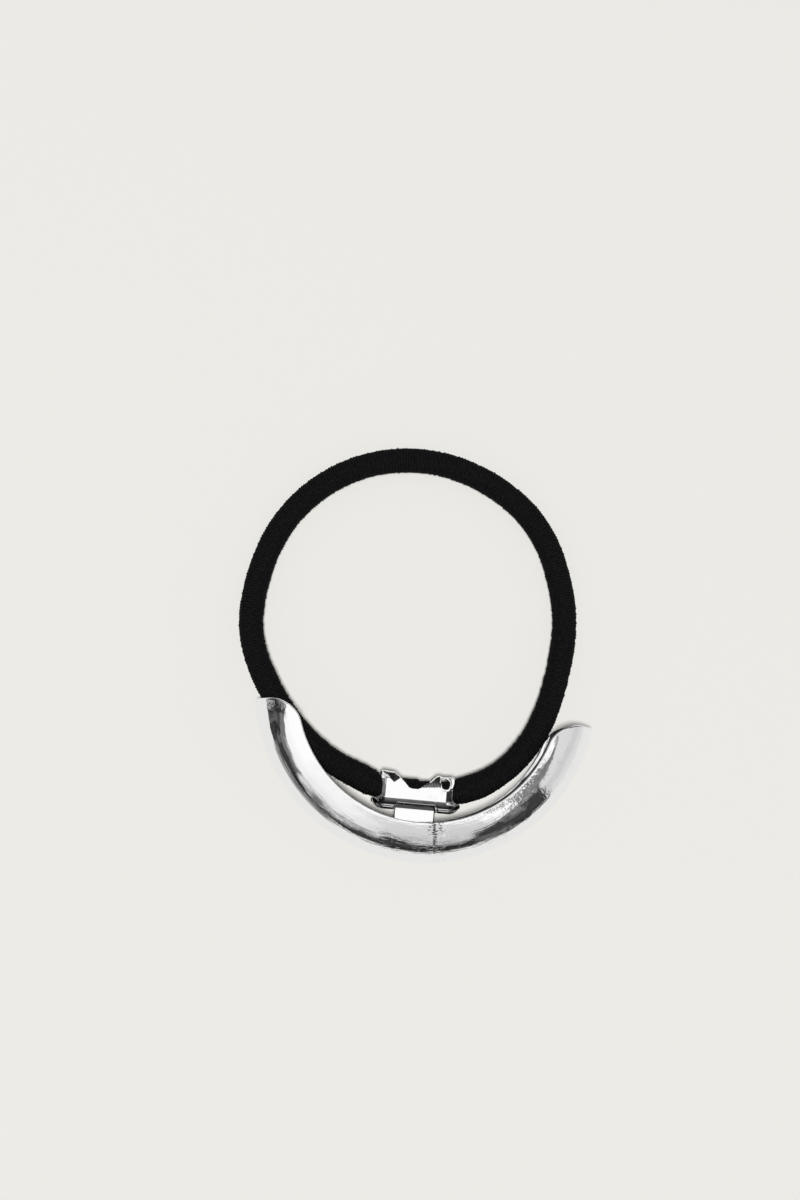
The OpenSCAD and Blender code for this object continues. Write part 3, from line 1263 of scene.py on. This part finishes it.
class PONYTAIL_OT_stage(bpy.types.Operator):
    """Lays the pale floor and sets the studio's light"""

    bl_idname = "ponytail.stage"
    bl_label = "Set the stage"

    def execute(self, context):
        studio = context.scene.studio
        deselect()
        bpy.ops.mesh.primitive_circle_add(
            vertices=128,
            radius=studio.floor_r,
            fill_type="NGON",
            location=(*studio.aim[:2], 0),
        )
        floor = context.object
        floor.name = "floor"
        settle(floor)
        floor.data.materials.append(plain_floor("floor", context.scene.finish_colours))
        world = bpy.data.worlds.new("studio")
        context.scene.world = world
        world.use_nodes = True
        paint_world(Tree(world.node_tree), studio)
        away = (context.scene.camera.location - Vector(studio.aim)).normalized()
        bpy.ops.object.light_add(
            type="AREA", location=Vector(studio.aim) + away * studio.key_distance
        )
        key = context.object
        key.name = "key"
        key.data.shape = "DISK"
        key.data.size = studio.key_size
        key.data.energy = studio.key
        key.rotation_euler = away.to_track_quat("Z", "Y").to_euler()
        key.visible_glossy = False
        context.scene.view_settings.view_transform = "Standard"
        return {"FINISHED"}


# The studio round the part, in the swing and level that paint_world counts, in degrees.
# Smaller dark and light things: their left and right sides, their high and low sides, and
# how light they are
STUDIO_THINGS = (
    (75.0, 86.0, 4.0, 15.5, 1.0),
    (66.0, 75.5, 6.0, 20.0, 1.0),
    (48.0, 62.0, 7.5, 15.0, 0.17),
    (8.0, 12.0, 34.0, 41.0, 1.3),
    (37.0, 44.0, 40.0, 62.0, 0.22),
    (47.3, 49.3, 40.0, 49.0, 0.6),
    (20.0, 36.0, 76.0, 88.0, 0.15),
    (-15.0, 0.5, 48.0, 51.5, 0.15),
    (-12.0, 22.0, 70.0, 95.0, 0.025),
    (-15.0, -3.5, 63.0, 81.0, 0.04),
    (-27.0, -15.0, 72.0, 90.0, 0.04),
    (-47.0, -42.0, 64.0, 79.0, 0.16),
    (-71.0, -58.0, 69.0, 82.0, 0.04),
    (-77.0, -72.0, 72.0, 80.0, 0.12),
    (-88.0, -83.5, 40.0, 72.0, 0.03),
    (-83.0, -79.5, 62.0, 95.0, 0.11),
    (-91.0, -86.0, 72.0, 95.0, 0.35),
    (-90.0, -86.5, 40.0, 46.0, 0.5),
)


# Edges of the panel, walls and window: the level at the far left, then each change of level
# as the swing where it starts, the swing where it ends and how far down it goes
PANEL_EDGE = (34.0, ((-87.0, -70.0, 23.0), (-20.0, 0.0, 4.0), (10.0, 38.0, -19.0)))
WALL_EDGE = (52.0, ((-85.0, -73.0, 18.0), (-58.0, -48.0, 7.0), (0.0, 15.0, -4.0)))
WINDOW_EDGE = (42.0, ((55.0, 81.0, -23.0),))


def edge_line(swing, edge):
    """The level of an edge in the studio at each swing."""
    level, changes = edge
    for start, end, down in changes:
        level = level + swing.climb(start, end) * down
    return level


def paint_world(tree, studio):
    """The studio that the metal mirrors, painted by direction.

    level counts the degrees down from straight above, and swing the degrees round from the
    picture's foot, positive towards its right. The camera and matt surfaces see it plain.
    """
    x, y, z = tree.axes(tree.place())
    degrees = 180 / math.pi
    level = tree.sum("ARCCOSINE", z) * degrees
    swing = tree.sum("ARCTAN2", x, -y) * degrees - math.degrees(studio.roll)
    shade_place = tree.point(swing * 0.05, level * 0.11)
    shade = tree.noise(shade_place, 1.0, detail=4.0, roughness=0.65)
    streak_place = tree.point(swing * 0.06, level * 0.3, 4.0)
    streak = tree.noise(streak_place, 1.0, detail=3.0, roughness=0.6)
    bristle_place = tree.point(swing * 0.35, level * 0.12, 8.0)
    bristle = tree.noise(bristle_place, 1.0, detail=3.0, roughness=0.6)
    foot = swing.within(-34.0, -6.0) * (1.0 - swing.within(27.0, 36.0))
    top = swing.size().within(105.0, 135.0)
    ragged = level + (shade - 0.5) * (14.0 + foot * 10.0) + (bristle - 0.5) * (4.0 + foot * 14.0)

    # The white panel overhead, dimmer towards the foot; its left edge slants
    panel_edge = edge_line(swing, PANEL_EDGE).toward(46.0, top)
    panel = 1.0 - (ragged - panel_edge).within(-1.5, 1.5)
    dimmer = 0.34 + (0.5 - shade) * 0.5
    panel_light = 1.0 - foot * ragged.within(4.0, 12.0) * dimmer - level.within(25.0, 52.0) * 0.1
    panel_light = panel_light - between(swing, -56.0, -24.0, 6.0) * 0.08
    # A dull wall reaches in from the right
    grey_right = (swing + level * 0.62).within(62.0, 66.0) * (1.0 - swing.within(98.0, 108.0))
    grey_right = grey_right * level.within(6.5, 9.0)
    grey_light = 0.16 + streak.within(0.5, 0.7) * 0.25
    panel_light = panel_light.toward(grey_light, grey_right)

    # Walls: mottled grey at the foot, darker to the left and right, dark near the horizon
    wall_foot = between(swing, -57.0, 21.0, 2.0)
    wall_left = between(swing, -115.0, -57.0, 2.0)
    wall_light = 0.045 + wall_foot * (0.26 + shade.within(0.42, 0.58) * 0.34) + wall_left * 0.13
    wall_light = wall_light + wall_foot * (streak.within(0.45, 0.56) * 0.24 - 0.08)
    wall_light = wall_light + top * (0.2 - level.within(48.0, 72.0) * 0.23)
    wall_edge = edge_line(swing, WALL_EDGE) + top * 20.0
    dark = 0.015 + streak.within(0.42, 0.65) * 0.06
    wall = dark.toward(wall_light, 1.0 - (ragged - wall_edge).within(-1.0, 1.0))
    light = wall.toward(panel_light, panel)
    # A grey strip just over the horizon, left of the foot
    strip = between(swing, -72.0, -34.0, 3.0) * level.within(86.0, 88.0)
    light = light.toward(0.2 + streak * 0.3, strip)
    ragged_swing = swing + (bristle - 0.5) * 12.0
    for left, right, high, low, shine in STUDIO_THINGS:
        thing = between(ragged_swing, left, right, 0.5) * between(ragged, high, low, 0.8)
        light = light.toward(shine, thing)

    # The bright wall on the right with its slanting top, and its pale streak
    window = swing.within(52.0, 54.5) * (1.0 - swing.within(98.0, 112.0))
    window = window * (level - edge_line(swing, WINDOW_EDGE)).within(-1.5, 1.5)
    light = light.toward(0.7 - between(level, 58.0, 76.0, 9.0) * 0.1, window)
    # Under the horizon, beyond the floor's edge
    light = light.toward(0.8, level.within(96.0, 99.0))

    tint = {"Red": light * 1.04, "Green": light * 1.03, "Blue": light * 0.99}
    room = tree.add("ShaderNodeCombineColor", None, tint)
    is_camera = tree.add("ShaderNodeLightPath", out="Is Camera Ray")
    # Matt surfaces see it plain, also by way of the metal
    after_diffuse = tree.add("ShaderNodeLightPath", out="Diffuse Depth").within(0.4, 0.6)
    colour = tree.blend(after_diffuse, room, rgba(studio.fill))
    colour = tree.blend(is_camera, colour, rgba(studio.backdrop))
    glow = tree.add("ShaderNodeBackground", None, {"Color": colour, "Strength": 1.0})
    tree.add("ShaderNodeOutputWorld", None, {"Surface": glow})


class PONYTAIL_PT_panel(bpy.types.Panel):
    """Lists the pieces and their sizes"""

    bl_idname = "PONYTAIL_PT_panel"
    bl_label = "Ponytail Cuff"
    bl_space_type = "VIEW_3D"
    bl_region_type = "UI"
    bl_category = "Ponytail Cuff"

    def draw(self, context):
        for operator in STEPS:
            self.layout.operator(operator.bl_idname)
        for name in GROUPS:
            group = getattr(context.scene, name)
            box = self.layout.box()
            for size in type(group).__annotations__:
                box.prop(group, size)


GROUPS = {
    "cuff_sizes": CuffSizes,
    "clamp_sizes": ClampSizes,
    "elastic_sizes": ElasticSizes,
    "finish_colours": FinishColours,
    "studio": Studio,
}
STEPS = (
    PONYTAIL_OT_camera,
    PONYTAIL_OT_elastic,
    PONYTAIL_OT_cuff,
    PONYTAIL_OT_clamp,
    PONYTAIL_OT_stage,
)


def register():
    for name, group in GROUPS.items():
        bpy.utils.register_class(group)
        setattr(bpy.types.Scene, name, bpy.props.PointerProperty(type=group))
    for operator in STEPS:
        bpy.utils.register_class(operator)
    bpy.utils.register_class(PONYTAIL_PT_panel)


def unregister():
    bpy.utils.unregister_class(PONYTAIL_PT_panel)
    for operator in reversed(STEPS):
        bpy.utils.unregister_class(operator)
    for name, group in GROUPS.items():
        delattr(bpy.types.Scene, name)
        bpy.utils.unregister_class(group)


def main():
    register()
    bpy.ops.ponytail.camera()
    bpy.ops.ponytail.elastic()
    bpy.ops.ponytail.cuff()
    bpy.ops.ponytail.clamp()
    bpy.ops.ponytail.stage()


if __name__ == "__main__":
    main()
